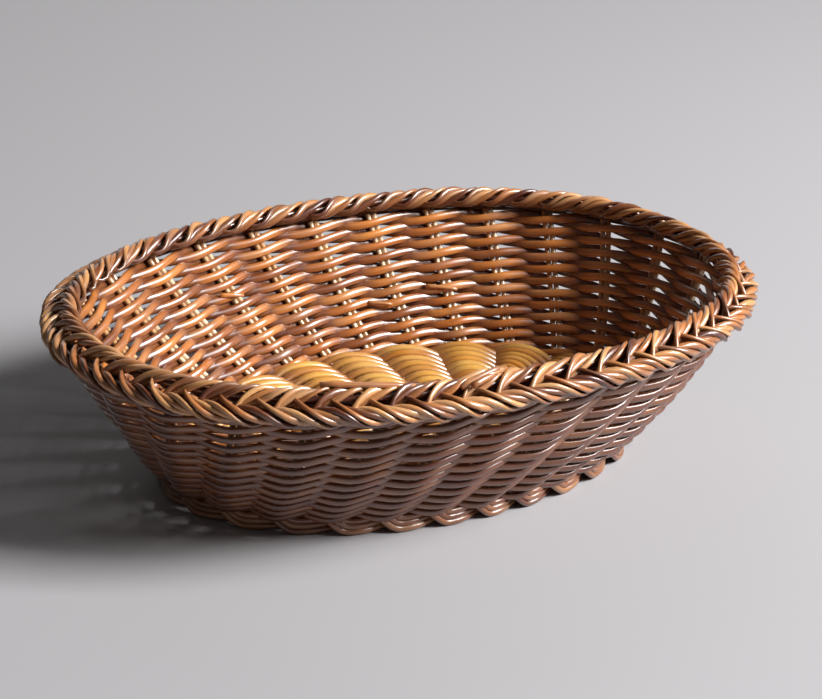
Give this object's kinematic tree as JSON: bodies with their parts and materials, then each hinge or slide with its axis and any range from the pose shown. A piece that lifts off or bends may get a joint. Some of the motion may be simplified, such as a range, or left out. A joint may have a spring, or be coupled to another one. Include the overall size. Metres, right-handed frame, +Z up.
{
  "type": "wicker basket",
  "caption": "Oval stiff wicker basket with flared twined sides, a plaited rim, a folded foot border and a woven stick base.",
  "frame": {"origin": "centre of the bounding box, on the plane that the foot border stands on", "axes": "+X along the basket's longer side, +Y across it, +Z up out of the open top"},
  "size_m": [0.3322, 0.2362, 0.0838],
  "materials": {
    "weaver": "varnished willow, orange brown with darker and greyer rods",
    "stake": "varnished cane, orange brown",
    "border": "varnished willow, reddish brown",
    "base": "varnished cane, golden"
  },
  "bodies": {
    "root": {"stake_pair_1": "stake", "stake_pair_2": "stake", "stake_pair_3": "stake", "stake_pair_4": "stake", "stake_pair_5": "stake", "stake_pair_6": "stake", "stake_pair_7": "stake", "stake_pair_8": "stake", "stake_pair_9": "stake", "stake_pair_10": "stake", "stake_pair_11": "stake", "stake_pair_12": "stake", "stake_pair_13": "stake", "stake_pair_14": "stake", "stake_pair_15": "stake", "stake_pair_16": "stake", "stake_pair_17": "stake", "stake_pair_18": "stake", "stake_pair_19": "stake", "stake_pair_20": "stake", "stake_pair_21": "stake", "stake_pair_22": "stake", "stake_pair_23": "stake", "stake_pair_24": "stake", "stake_pair_25": "stake", "stake_pair_26": "stake", "stake_pair_27": "stake", "stake_pair_28": "stake", "weave_row_1": "weaver", "weave_row_2": "weaver", "weave_row_3": "weaver", "weave_row_4": "weaver", "weave_row_5": "weaver", "weave_row_6": "weaver", "weave_row_7": "weaver", "weave_row_8": "weaver", "weave_row_9": "weaver", "weave_row_10": "weaver", "weave_row_11": "weaver", "weave_row_12": "weaver", "weave_row_13": "weaver", "base_cross_stick_1": "base", "base_cross_stick_2": "base", "base_cross_stick_3": "base", "base_cross_stick_4": "base", "base_cross_stick_5": "base", "base_cross_stick_6": "base", "base_long_stick_1": "base", "base_long_stick_2": "base", "base_long_stick_3": "base", "base_long_stick_4": "base", "base_weave": "base", "foot_border": "border", "rim_plait": "border"}
  },
  "joints": []
}
